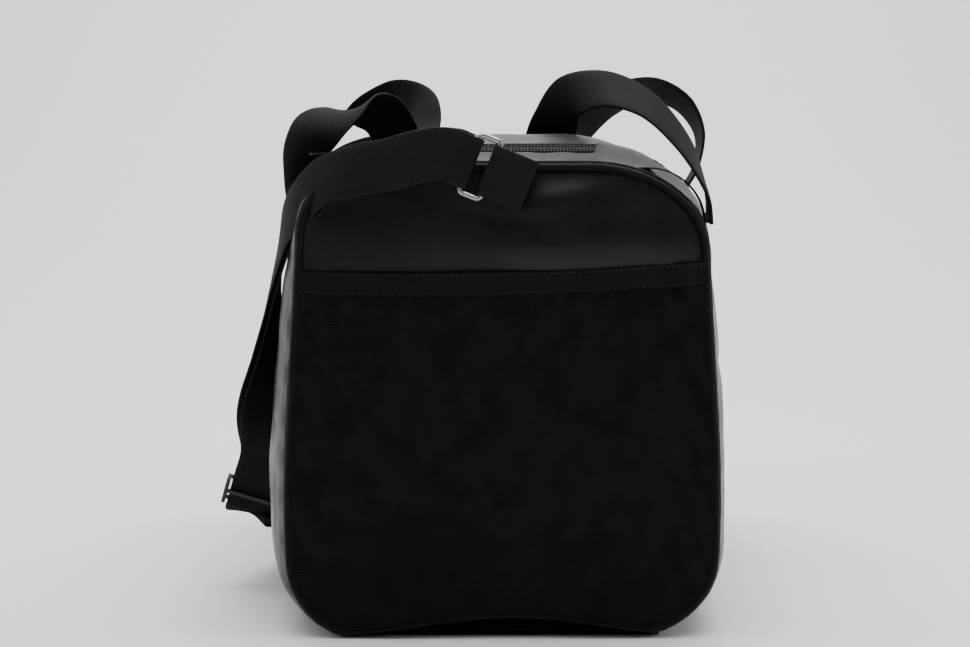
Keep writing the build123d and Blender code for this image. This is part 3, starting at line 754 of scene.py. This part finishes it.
def make_pocket(name, side):
    """Slack mesh pocket, its mouth binding and the rows of thread along it."""
    half_tape = 0.0084

    def depth(s, t, x, z):
        return mesh_depth(s, t, x, z, side)

    pocket = end_sheet(f"{name}_mesh", side, lambda s: SEAM_LOW,
                       lambda s: mouth(s, side) - 0.002, 0.0022, depth, 110, 90)
    thicken(pocket, 0.0009, -side)
    finish_piece(pocket, "bag", "mesh", f"{name}_mesh_pocket")

    columns = 90
    bulge = 9

    def tape_frame(i):
        s = eased(i, columns)
        z = mouth(s, side)
        x = s * (seam_half_width(z, s) - 0.0008)
        return s, x, z, mesh_depth(s, 1.0, x, z, side)

    def tape_point(i, j):
        s, x, z, off = tape_frame(i)
        a = 2 * math.pi * j / (2 * bulge)
        wide = half_tape * math.copysign(abs(math.cos(a)) ** 0.55, math.cos(a))
        thick = 0.0013 * math.copysign(abs(math.sin(a)) ** 0.7, math.sin(a))
        hem = 0.00035 * bell(abs(wide), 0.0070, 0.0011)
        edge_on = off + 0.0006 + thick + (hem if thick > 0 else 0)
        return Vector((x, side * (HALF_L + max(edge_on, 0.0004)), z + wide))

    def tape_uv(i, j):
        _, x, z, _ = tape_frame(i)
        return (x, z + 0.0018 * j)

    rows = 2 * bulge + 1
    tape = sheet_grid(f"{name}_mouth_tape", columns, rows, tape_point, tape_uv)
    finish_piece(tape, "bag", "binding_tape", f"{name}_pocket_binding")

    lines = []
    for up in (0.0066, -0.0066):
        line = []
        for i in range(2, columns - 2):
            s, x, z, off = tape_frame(i)
            line.append(Vector((x, side * (HALF_L + off + 0.0021), z + up)))
        lines.append(line)
    finish_piece(stitches(f"{name}_mouth_stitching", lines), "bag", "binding_tape", mat=THREAD)


def make_base():
    """Reinforcing panel under the bag, with a rolled edge."""
    low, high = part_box("base_panel")
    half_x = high[0]
    half_y = high[1] - 0.006
    columns, rows = 60, 90

    def place(i, j):
        return half_x * eased(i, columns), half_y * eased(j, rows)

    def point(i, j):
        x, y = place(i, j)
        roll = smooth((half_x - abs(x)) / 0.006) * smooth((half_y - abs(y)) / 0.006)
        return Vector((x, y, 0.0012 * (1 - roll)))

    panel = sheet_grid("base_reinforcement", columns, rows, point, place)
    thicken(panel, 0.0014, 1.0)
    finish_piece(panel, "bag", "base_fabric", "base_panel")


# ---- Lid and zip ----------------------------------------------------------
def zip_line(grow, start_x, step=0.004):
    """Points along the U at an offset from the zip's centre line, near end first."""
    reach_x = ZIP_X + grow
    reach_y = ZIP_Y + grow
    radius = ZIP_R + grow
    cx = reach_x - radius
    cy = reach_y - radius

    def span(a, b):
        count = max(int((Vector(b) - Vector(a)).length / step), 1)
        return [Vector(a).lerp(Vector(b), k / count) for k in range(count)]

    turns = 14
    points = span((start_x, -reach_y), (cx, -reach_y))
    points += [Vector((cx + radius * math.sin(a), -cy - radius * math.cos(a)))
               for a in (math.pi / 2 * k / turns for k in range(turns))]
    points += span((reach_x, -cy), (reach_x, cy))
    points += [Vector((cx + radius * math.cos(a), cy + radius * math.sin(a)))
               for a in (math.pi / 2 * k / turns for k in range(turns))]
    points += span((cx, reach_y), (start_x, reach_y))
    points.append(Vector((start_x, reach_y)))
    return points


def lid_rise(x, y):
    """The lid's own dome: filled near each end, pressed down under the carry handles."""
    reach = (x - HINGE_X) / (ZIP_X - HINGE_X)
    across = smooth(reach / 0.5) * smooth((1 - reach) / 0.32)
    ends = smooth((ZIP_Y - abs(y)) / 0.07)
    pressed = 0.92 * bell(y, 0.0, 0.085)
    soft = 0.0012 * wobble(x, y, 0, 24, 7.7) * across * ends
    return 0.0110 * across * ends * (1 - pressed) + soft


def make_lid():
    """The lid's skin between the fold and the zip."""
    columns, rows = 64, 110
    edge_x = ZIP_X - ZIP_GAP + 0.004
    edge_y = ZIP_Y - ZIP_GAP + 0.004
    radius = ZIP_R - ZIP_GAP + 0.004

    def point(i, j):
        y = edge_y * eased(j, rows)
        corner = max(abs(y) - (edge_y - radius), 0.0)
        reach = edge_x - radius + math.sqrt(max(radius ** 2 - corner ** 2, 0.0))
        t = i / (columns - 1)
        x = HINGE_X + 0.0006 + (reach - HINGE_X - 0.0006) * t
        return Vector((x, y, top_z(x, y) - 0.0003 + lid_rise(x, y)))

    def uv(i, j):
        p = point(i, j)
        return (p.x, p.y)

    lid = sheet_grid("lid_skin", columns, rows, point, uv)
    thicken(lid, 0.0024, -1.0)
    finish_piece(lid, "lid", "coated_fabric", "lid_panel")


def strip_along(name, inner, outer, start_x, height, lanes=6, thick=0.0007):
    """A tape beside the zip between two offsets, laid on the surface."""
    lines = [zip_line(inner + (outer - inner) * k / lanes, start_x) for k in range(lanes + 1)]
    count = min(len(line) for line in lines)
    lines = [resample(line, count) for line in lines]

    def point(i, j):
        p = lines[i][j]
        return Vector((p.x, p.y, height(p.x, p.y, i / lanes)))

    def uv(i, j):
        return ((outer - inner) * i / lanes, j * 0.004)

    strip = sheet_grid(name, lanes + 1, count, point, uv)
    return thicken(strip, thick, 0.0)


def resample(line, count):
    """The same line as an even number of points."""
    marks = [0.0]
    for a, b in zip(line, line[1:]):
        marks.append(marks[-1] + (b - a).length)
    out = []
    k = 1
    for n in range(count):
        s = marks[-1] * n / (count - 1)
        while k < len(line) - 1 and marks[k] < s:
            k += 1
        span = marks[k] - marks[k - 1] or 1e-9
        out.append(line[k - 1].lerp(line[k], min((s - marks[k - 1]) / span, 1.0)))
    return out


def teeth(name, grow_in, grow_out, start_x, height, shift):
    """One row of zip teeth: a small rounded block for each turn of the coil."""
    pitch = 0.0024
    inner = zip_line(grow_in, start_x)
    outer = zip_line(grow_out, start_x)
    length = sum((b - a).length for a, b in zip(inner, inner[1:]))
    count = int(length / pitch)
    inner = resample(inner, 2 * count + 1)
    outer = resample(outer, 2 * count + 1)
    verts, faces = [], []
    tall = 0.0017
    for k in range(count):
        at = 2 * k + (1 if shift else 0)
        a = inner[at]
        b = outer[at]
        out = (b - a).normalized()
        along = Vector((-out.y, out.x)) * 0.00062
        base = len(verts)
        for p, sink in ((a, 0.35), (a.lerp(b, 0.35), 0.0), (b, 0.25)):
            for w, h in ((-1, 0.0), (-0.75, 1.0 - sink), (0.75, 1.0 - sink), (1, 0.0)):
                q = p + along * w
                verts.append((q.x, q.y, height(p.x, p.y, 0) + 0.0004 + tall * h))
        for r in (0, 4):
            for c in range(4):
                n = (c + 1) % 4
                faces.append((base + r + c, base + r + n, base + r + 4 + n, base + r + 4 + c))
        faces.append((base + 3, base + 2, base + 1, base))
        faces.append((base + 8, base + 9, base + 10, base + 11))
    return mesh_piece(name, verts, faces)


def make_zip():
    """Tapes, teeth and thread of the zip, and the two end squares past the fold."""
    def on_body(x, y, t):
        return top_z(x, y) + TAPE_LIFT

    def on_lid(x, y, t):
        return top_z(x, y) + TAPE_LIFT + lid_rise(x, y)

    body = strip_along("body_tape", COIL_EDGE, TAPE_W, TAPE_END_X, on_body)
    finish_piece(body, "bag", "zip_tape", "body_zip_tape")
    lid = strip_along("lid_tape", -TAPE_W, -COIL_EDGE, HINGE_X, on_lid)
    finish_piece(lid, "lid", "zip_tape", "lid_zip_tape")
    for name, y in (("near", -ZIP_Y), ("far", ZIP_Y)):
        inward = 1 if y < 0 else -1

        def square_point(i, j, y=y, inward=inward):
            x = TAPE_END_X + (HINGE_X - 0.0008 - TAPE_END_X) * i / 8
            off = COIL_EDGE + (TAPE_W - COIL_EDGE) * j / 6
            return Vector((x, y + inward * off, top_z(x, y) + TAPE_LIFT))

        square = sheet_grid(f"{name}_zip_end_square", 9, 7, square_point,
                            lambda i, j: (i * 0.003, j * 0.002))
        thicken(square, 0.0007, 0.0)
        finish_piece(square, "bag", "zip_tape")
    outer = teeth("body_teeth", 0.0005, 0.0034, ZIP_END_X, on_body, False)
    finish_piece(outer, "bag", "zip_coil", "body_zip_coil")
    inner = teeth("lid_teeth", -0.0034, -0.0005, HINGE_X + 0.0030, on_lid, True)
    finish_piece(inner, "lid", "zip_coil", "lid_zip_coil")
    for name, body, side, start_x, height in (("body", "bag", 1, ZIP_END_X - 0.003, on_body),
                                              ("lid", "lid", -1, HINGE_X + 0.003, on_lid)):
        rows = [[Vector((p.x, p.y, height(p.x, p.y, 1) + 0.0006))
                 for p in zip_line(side * grow, start_x)] for grow in (0.0088, 0.0138)]
        sewn = stitches(f"{name}_tape_stitching", rows)
        finish_piece(sewn, body, "zip_tape", mat=THREAD)


# ---- Webbing --------------------------------------------------------------
FOOT_X = 0.1640
FOOT_Z = 0.300
FOOT_Y = 0.118
GRIP = 0.0086          # grip's middle over the rim


def handle_rows(sign, rows):
    """Rows of distance in from the foot, share of the foot spacing, height over the rim."""
    return [((sign * (FOOT_X - inward), FOOT_Y * share, RIM_Z + rise), (sign * ax, ay, az))
            for inward, share, rise, (ax, ay, az) in rows]


RIGHT_HANDLE = handle_rows(1, [
    (0.001, -1, -0.048, (0, 1, 0)),
    (0.002, -1, -0.031, (0.05, 1, 0)),
    (0.009, -0.99, -0.010, (0.2, 1, 0.05)),
    (0.023, -0.97, 0.016, (0.35, 0.9, 0.2)),
    (0.051, -0.92, 0.045, (0.25, 0.8, 0.5)),
    (0.083, -0.85, 0.0565, (0, 0.68, 0.73)),
    (0.110, -0.74, 0.0500, (-0.55, 0.5, 0.65)),
    (0.121, -0.56, 0.028, (-0.9, 0.3, 0.35)),
    (0.125, -0.30, GRIP + 0.006, (-1, 0.1, 0.1)),
    (0.124, 0, GRIP, (-1, 0, 0)),
    (0.116, 0.3, GRIP + 0.006, (-1, -0.2, 0.1)),
    (0.096, 0.52, 0.031, (-0.8, -0.5, 0.35)),
    (0.064, 0.7, 0.051, (-0.3, -0.8, 0.6)),
    (0.030, 0.84, 0.060, (0.1, -0.85, 0.5)),
    (0.000, 0.93, 0.048, (0.2, -0.95, 0.3)),
    (-0.016, 0.97, 0.022, (0.1, -1, 0.1)),
    (-0.014, 0.99, -0.008, (0, -1, 0)),
    (-0.003, 1, -0.030, (0, -1, 0)),
    (0.001, 1, -0.048, (0, -1, 0)),
])
LEFT_HANDLE = handle_rows(-1, [
    (0.002, -1, -0.048, (0, 1, 0)),
    (0.001, -1, -0.034, (0, 1, 0)),
    (0.002, -0.99, -0.014, (-0.2, 1, 0)),
    (0.009, -0.97, 0.006, (-0.75, 0.65, 0.1)),
    (0.020, -0.94, 0.023, (-0.97, 0.2, 0.1)),
    (0.034, -0.87, 0.034, (-1, 0.1, 0.12)),
    (0.052, -0.76, 0.040, (-0.95, 0.3, 0.25)),
    (0.068, -0.64, 0.038, (-0.9, 0.35, 0.3)),
    (0.077, -0.50, 0.026, (-0.9, 0.3, 0.3)),
    (0.081, -0.27, GRIP + 0.004, (-1, 0.1, 0.1)),
    (0.083, 0, GRIP, (-1, 0, 0)),
    (0.088, 0.22, GRIP + 0.006, (-1, -0.1, 0.1)),
    (0.096, 0.38, 0.027, (-0.95, -0.2, 0.25)),
    (0.094, 0.52, 0.044, (-0.9, -0.4, 0.4)),
    (0.074, 0.68, 0.050, (-0.6, -0.7, 0.45)),
    (0.046, 0.82, 0.044, (-0.2, -0.9, 0.4)),
    (0.022, 0.93, 0.024, (0, -1, 0.2)),
    (0.006, 0.98, -0.003, (0, -1, 0)),
    (0.001, 1, -0.030, (0, -1, 0)),
    (0.002, 1, -0.048, (0, -1, 0)),
])


def foot_patch(name, side, y):
    """A handle's sewn foot, laid on the bag's side."""
    columns, rows = 12, 14
    half = WEB_W / 2
    tall = 0.0445
    word = "right" if side > 0 else "left"
    rz = CORNERS[f"top_{word}"][1]
    low = FLOOR_Z + CORNERS[f"low_{word}"][1]
    high = RIM_Z - rz

    def point(i, j, lift=0.0):
        z = 0.3035 - tall * j / (rows - 1)
        across = y + half * (2 * i / (columns - 1) - 1)
        if z > high:
            angle = math.asin((z - high) / rz) / (math.pi / 2)
            column = (f"top_{word}", angle if side > 0 else 1 - angle)
        else:
            share = (z - low) / (high - low)
            column = (word, share if side > 0 else 1 - share)
        return skin_point(column, across, 0.0009 + lift)

    patch = sheet_grid(f"{name}_foot", columns, rows, point,
                       lambda i, j: (half * (2 * i / (columns - 1) - 1), tall * j / (rows - 1)))
    thicken(patch, 0.0016, 0.0)
    last, right = rows - 2, columns - 2
    box = [(i, 2) for i in range(1, right)] + [(right, j) for j in range(2, last)]
    box += [(i, last) for i in range(right, 0, -1)] + [(1, j) for j in range(last, 1, -1)]
    lines = [[point(i, j, 0.0010) for i, j in box]]
    for i0, i1 in ((1, right), (right, 1)):
        lines.append([point(i0 + (i1 - i0) * k / 12, 2 + (last - 2) * k / 12, 0.0010)
                      for k in range(13)])
    return patch, stitches(f"{name}_foot_stitching", lines)


def make_handles():
    for name, side, rows in (("left", -1, LEFT_HANDLE), ("right", 1, RIGHT_HANDLE)):
        strap = webbing(f"{name}_handle_web", *zip(*rows), WEB_W, HANDLE_T, 12, cup=0.0010)
        finish_piece(strap, f"{name}_carry_handle", "webbing", f"{name}_handle")
        for end, y in (("near", -FOOT_Y), ("far", FOOT_Y)):
            patch, sewn = foot_patch(f"{name}_{end}", side, y)
            finish_piece(patch, "bag", "webbing", f"{name}_handle_patches")
            finish_piece(sewn, "bag", "webbing", mat=THREAD)


# ---- Shoulder strap -------------------------------------------------------
RING_TILT = math.radians(22)
RING_AT = Vector((-0.016, HALF_L + 0.011, RIM_Z - 0.002))
RING_ACROSS = (math.sin(RING_TILT), 0, math.cos(RING_TILT))
PLY = 0.00315          # half the spacing of two plies at a ring
PLY_SPLIT = 0.0012     # and in the slider
LEAD = 0.007           # straight webbing past a ring loop
SIDE_X = -0.163        # the left side at its fullest
GLIDE_AT = Vector((SIDE_X - 0.040, -0.0598, 0.074))
GLIDE_ALONG = Vector((-0.28, 0.34, -0.90)).normalized()
GLIDE_ACROSS = Vector((0.86, 0.10, -0.5))
GLIDE_ACROSS = (GLIDE_ACROSS - GLIDE_ALONG * GLIDE_ACROSS.dot(GLIDE_ALONG)).normalized()
GLIDE_OUT = GLIDE_ACROSS.cross(GLIDE_ALONG)


def strap_start(side, ply, lead=0.0):
    """Where a ply leaves its ring loop, or lead further on."""
    out = 0.018 + lead
    return Vector((RING_AT.x - out * math.cos(RING_TILT), side * (RING_AT.y + ply * PLY),
                   RING_AT.z + out * math.sin(RING_TILT)))


def beside_glide(distance, offset):
    return GLIDE_AT + GLIDE_ALONG * distance + GLIDE_OUT * offset


def strap_rows():
    """The strap's three stretches: front ply, back ply, and on to the far ring."""
    e, h = HALF_L, RIM_Z
    paired = [         # outer ply, inner ply, and the width direction of both
        (strap_start(-1, 1), strap_start(-1, -1), RING_ACROSS),
        (strap_start(-1, 1, LEAD), strap_start(-1, -1, LEAD), RING_ACROSS),
        ((-0.058, -e - 0.0150, h + 0.0060), (-0.058, -e - 0.0085, h + 0.0060), (0.1, 0.1, 1)),
        ((-0.083, -e - 0.0145, h - 0.0005), (-0.083, -e - 0.0085, h - 0.0005), (0, 0.15, 1)),
        ((-0.108, -e - 0.0120, h - 0.0045), (-0.107, -e - 0.0070, h - 0.0045), (-0.15, 0.3, 1)),
        ((-0.130, -e - 0.0045, h - 0.0120), (-0.127, -e - 0.0005, h - 0.0130), (-0.4, 0.6, 0.8)),
        ((-0.1475, -e + 0.0110, h - 0.0280), (-0.1440, -e + 0.0140, h - 0.0290), (-0.4, 0.75, 0.6)),
        ((-0.1590, -0.872 * e, 0.878 * h), (-0.1555, -0.862 * e, 0.875 * h), (-0.2, 0.8, 0.6)),
        ((-0.1680, -0.765 * e, 0.80 * h), (-0.1645, -0.76 * e, 0.80 * h), (0, 0.8, 0.6)),
        ((-0.1775, -0.652 * e, 0.70 * h), (-0.1735, -0.65 * e, 0.70 * h), (0.1, 0.85, 0.45)),
        ((-0.1850, -0.53 * e, 0.575 * h), (-0.1805, -0.525 * e, 0.575 * h), (0.45, 0.8, 0.2)),
        ((-0.1930, -0.409 * e, 0.437 * h), (-0.1895, -0.405 * e, 0.437 * h), (0.75, 0.5, -0.15)),
        (beside_glide(-0.040, PLY_SPLIT), beside_glide(-0.040, -PLY_SPLIT), GLIDE_ACROSS),
        (beside_glide(-0.016, PLY_SPLIT), beside_glide(-0.016, -PLY_SPLIT), GLIDE_ACROSS),
        (beside_glide(0.016, PLY_SPLIT), beside_glide(0.002, -PLY_SPLIT), GLIDE_ACROSS),
    ]
    front = [(outer, across) for outer, _, across in paired]
    back = [(inner, across) for _, inner, across in paired]
    onward = [
        (beside_glide(0.012, PLY_SPLIT), GLIDE_ACROSS),
        (beside_glide(0.018, 0.0028), GLIDE_ACROSS),
        ((SIDE_X - 0.0345, -0.170 * e, 0.0575), (0.8, 0.1, -0.35)),
        ((SIDE_X - 0.0275, -0.075 * e, 0.0600), (0.6, -0.1, 0.3)),
        ((SIDE_X - 0.0220, 0.09 * e, 0.0680), (0.3, -0.3, 0.8)),
        ((SIDE_X - 0.0200, 0.30 * e, 0.240 * h), (0.1, -0.4, 0.85)),
        ((SIDE_X - 0.0195, 0.487 * e, 0.34 * h), (0.1, -0.6, 0.7)),
        ((SIDE_X - 0.0175, 0.643 * e, 0.455 * h), (0.05, -0.7, 0.65)),
        ((SIDE_X - 0.014, 0.774 * e, 0.586 * h), (0, -0.8, 0.55)),
        ((SIDE_X - 0.010, 0.878 * e, 0.741 * h), (0, -0.8, 0.6)),
        ((SIDE_X - 0.005, 0.965 * e, 0.868 * h), (-0.1, -0.6, 0.75)),
        ((SIDE_X + 0.008, e + 0.009, h - 0.016), (-0.2, -0.3, 0.9)),
        ((SIDE_X + 0.036, e + 0.017, h - 0.002), (-0.1, 0, 1)),
        ((SIDE_X + 0.072, e + 0.017, h + 0.003), (0, 0, 1)),
        ((-0.060, e + 0.0155, h + 0.007), (0.1, 0, 1)),
        (strap_start(1, 1, LEAD), RING_ACROSS),
        (strap_start(1, 1), RING_ACROSS),
    ]
    return front, back, onward


def ring_point(side, x, y, z):
    """A point in the ring's own frame: x towards the tab, z along the bars."""
    c, s = math.cos(RING_TILT), math.sin(RING_TILT)
    return Vector((RING_AT.x + c * x + s * z, side * (RING_AT.y) + y, RING_AT.z - s * x + c * z))


def folded_loop(name, side, bar, tail):
    """Webbing folded round one bar of the ring, with its plies run out to tail."""
    radius = 0.0023 + STRAP_T / 2
    centre = bar * 0.008
    path = [(tail, 1.0)] + [(tail * (1 - k / 5), 1.0) for k in range(1, 5)]
    turn = [(-radius * math.sin(math.pi * k / 12), math.cos(math.pi * k / 12)) for k in range(13)]
    profile = [(u, radius * v) for u, v in path] + [(u, radius * v) for u, v in turn]
    profile += [(u, -radius * v) for u, v in reversed(path)]
    if bar > 0:
        squeeze = [smooth((u - 0.009) / 0.014) for u, _ in profile]
        profile = [(u, v * (1 - 0.45 * q)) for (u, v), q in zip(profile, squeeze)]
    route = [ring_point(side, centre + bar * u, v, 0.0) for u, v in profile]
    return webbing(name, route, [RING_ACROSS] * len(route), WEB_W, STRAP_T, 2)


def make_strap():
    front, back, onward = strap_rows()
    for name, rows, node in (("strap_front_ply", front, "strap_near_run"),
                             ("strap_back_ply", back, "strap_return_run"),
                             ("strap_far_stretch", onward, "strap_far_run")):
        strap = webbing(name, *zip(*rows), WEB_W, STRAP_T, 12, cup=0.0010)
        finish_piece(strap, "shoulder_strap", "webbing", node)
    for name, side in (("near", -1), ("far", 1)):
        loop = folded_loop(f"{name}_strap_fold", side, -1, 0.0105)
        finish_piece(loop, "shoulder_strap", "webbing", f"{name}_strap_loop")
        tab = folded_loop(f"{name}_anchor_tab", side, 1, 0.030)
        finish_piece(tab, "shoulder_strap", "webbing", f"{name}_strap_tab")
        half_row = Vector(RING_ACROSS) * 0.016
        out = Vector((0, side * 0.0037, 0))

        def row(reach, share):
            middle = ring_point(side, reach, 0, 0) + out * share
            return [middle - half_row, middle + half_row]

        for part, lines in (("tab", [row(0.0175, 1.0), row(0.0345, 0.62)]),
                            ("loop", [row(-0.0155, 1.0)])):
            sewn = stitches(f"{name}_{part}_stitching", lines)
            finish_piece(sewn, "shoulder_strap", "webbing", mat=THREAD)


# ---- Camera, light and backdrop -------------------------------------------
def make_camera():
    data = bpy.data.cameras.new("camera")
    data.sensor_width = 36.0
    data.lens = 72.0
    camera = bpy.data.objects.new("camera", data)
    bpy.context.scene.collection.objects.link(camera)
    camera.location = (-0.0150, -1.630, 0.372)
    tilt = math.radians(5.68)
    camera.rotation_euler = (math.pi / 2 - tilt, 0, math.radians(-0.1))
    bpy.context.scene.camera = camera


def area_light(name, place, aim, size, power):
    data = bpy.data.lights.new(name, "AREA")
    data.shape = "RECTANGLE"
    data.size, data.size_y = size
    data.energy = power
    lamp = bpy.data.objects.new(name, data)
    lamp.location = place
    lamp.rotation_euler = (Vector(aim) - Vector(place)).to_track_quat("-Z", "Y").to_euler()
    bpy.context.scene.collection.objects.link(lamp)


def make_world():
    """Soft room: dim in front of the bag, bright above and behind it."""
    world = bpy.data.worlds.new("studio")
    world.use_nodes = True
    tree = world.node_tree
    coords = tree.nodes.new("ShaderNodeTexCoord")
    split = tree.nodes.new("ShaderNodeSeparateXYZ")
    tree.links.new(coords.outputs["Generated"], split.inputs[0])
    total = tree.nodes.new("ShaderNodeMath")
    glows = (("Y", -0.45, 0.75, 0.05, 0.75), ("Z", 0.15, 0.95, 0.0, 0.75))
    for socket, (axis, *limits) in zip(total.inputs, glows):
        glow = tree.nodes.new("ShaderNodeMapRange")
        glow.interpolation_type = "SMOOTHSTEP"
        for key, value in zip(("From Min", "From Max", "To Min", "To Max"), limits):
            glow.inputs[key].default_value = value
        tree.links.new(split.outputs[axis], glow.inputs["Value"])
        tree.links.new(glow.outputs["Result"], socket)
    background = tree.nodes["Background"]
    background.inputs["Color"].default_value = (1.0, 0.995, 1.0, 1)
    tree.links.new(total.outputs[0], background.inputs["Strength"])
    bpy.context.scene.world = world


def make_studio():
    make_world()
    area_light("wall_wash", (0.0, 0.55, 2.3), (0, 2.3, 0.35), (3.0, 0.8), 82)
    area_light("overhead", (0.15, -0.1, 2.1), (0, -0.1, 0), (2.2, 1.4), 24)
    area_light("front_floor", (0.0, -1.2, 1.9), (0, -0.75, 0), (1.8, 0.5), 10)
    area_light("right_window", (1.5, -0.55, 0.75), (0.1, -0.2, 0.28), (0.5, 0.9), 7)
    area_light("left_window", (-1.7, -0.5, 0.8), (-0.1, -0.1, 0.15), (0.4, 1.1), 6)
    reach = 9.0
    bend = 0.9
    start = 1.3
    profile = [(-3.0, 0.0), (start, 0.0)]
    profile += [(start + bend * math.sin(a), bend - bend * math.cos(a))
                for a in (math.pi / 2 * k / 16 for k in range(1, 17))]
    profile.append((start + bend, 4.0))
    verts = [(x, y, z) for y, z in profile for x in (-reach, reach)]
    faces = [(2 * k, 2 * k + 1, 2 * k + 3, 2 * k + 2) for k in range(len(profile) - 1)]
    sweep = mesh_piece("backdrop", verts, faces)
    sweep.data.materials.append(pale_wall())


# ---- Build ----------------------------------------------------------------
make_camera()
make_studio()
make_shell()
make_base()
for end_name, end_side in (("near", -1), ("far", 1)):
    make_end_panel(end_name, end_side)
    make_piping(end_name, end_side)
    make_pocket(end_name, end_side)
make_lid()
make_zip()
make_handles()
make_strap()

slots = {part["node"]: part["material_slot"] for part in frame["record"]["subparts"]}
for node, obj in frame["nodes"].items():
    obj.data.materials.clear()
    obj.data.materials.append(MATS[slots[node]])
